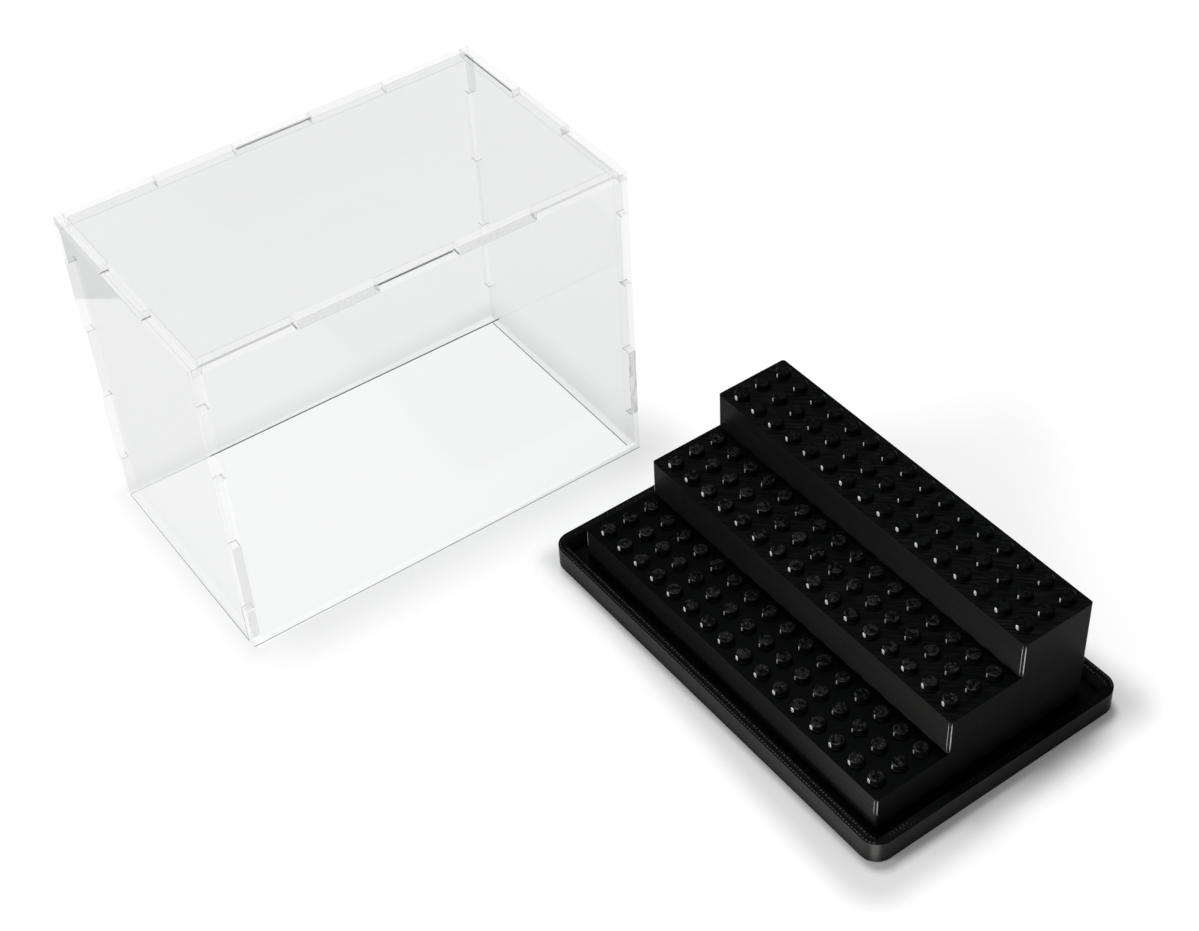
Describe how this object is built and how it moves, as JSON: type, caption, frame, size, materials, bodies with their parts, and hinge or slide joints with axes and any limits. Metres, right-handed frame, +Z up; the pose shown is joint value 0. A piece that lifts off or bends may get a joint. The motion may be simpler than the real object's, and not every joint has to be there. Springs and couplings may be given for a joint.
{
  "type": "minifigure display case",
  "caption": "Stepped black display base with rows of studs for small building-toy figures, and a clear finger-jointed cover that lifts off and stands beside it.",
  "frame": {"origin": "centre of the tray's underside, on the table", "axes": "+X along the steps, +Y from the front step to the back step, +Z up"},
  "size_m": [0.2588, 0.1824, 0.109],
  "materials": {
    "printed_tray": "black printed plastic, glossy along the layers",
    "printed_riser": "black printed plastic, glossy along the layers",
    "clear_sheet": "clear cast acrylic sheet with laser-cut edges"
  },
  "bodies": {
    "base": {"tray": "printed_tray", "riser": "printed_riser"},
    "cover": {"cover_front": "clear_sheet", "cover_back": "clear_sheet", "cover_left": "clear_sheet", "cover_right": "clear_sheet", "cover_top": "clear_sheet"}
  },
  "joints": [
    {"name": "cover_lift", "type": "slide", "parent": "base", "child": "cover", "axis": [0, 0, 1], "range_m": [0, 0.12]}
  ]
}
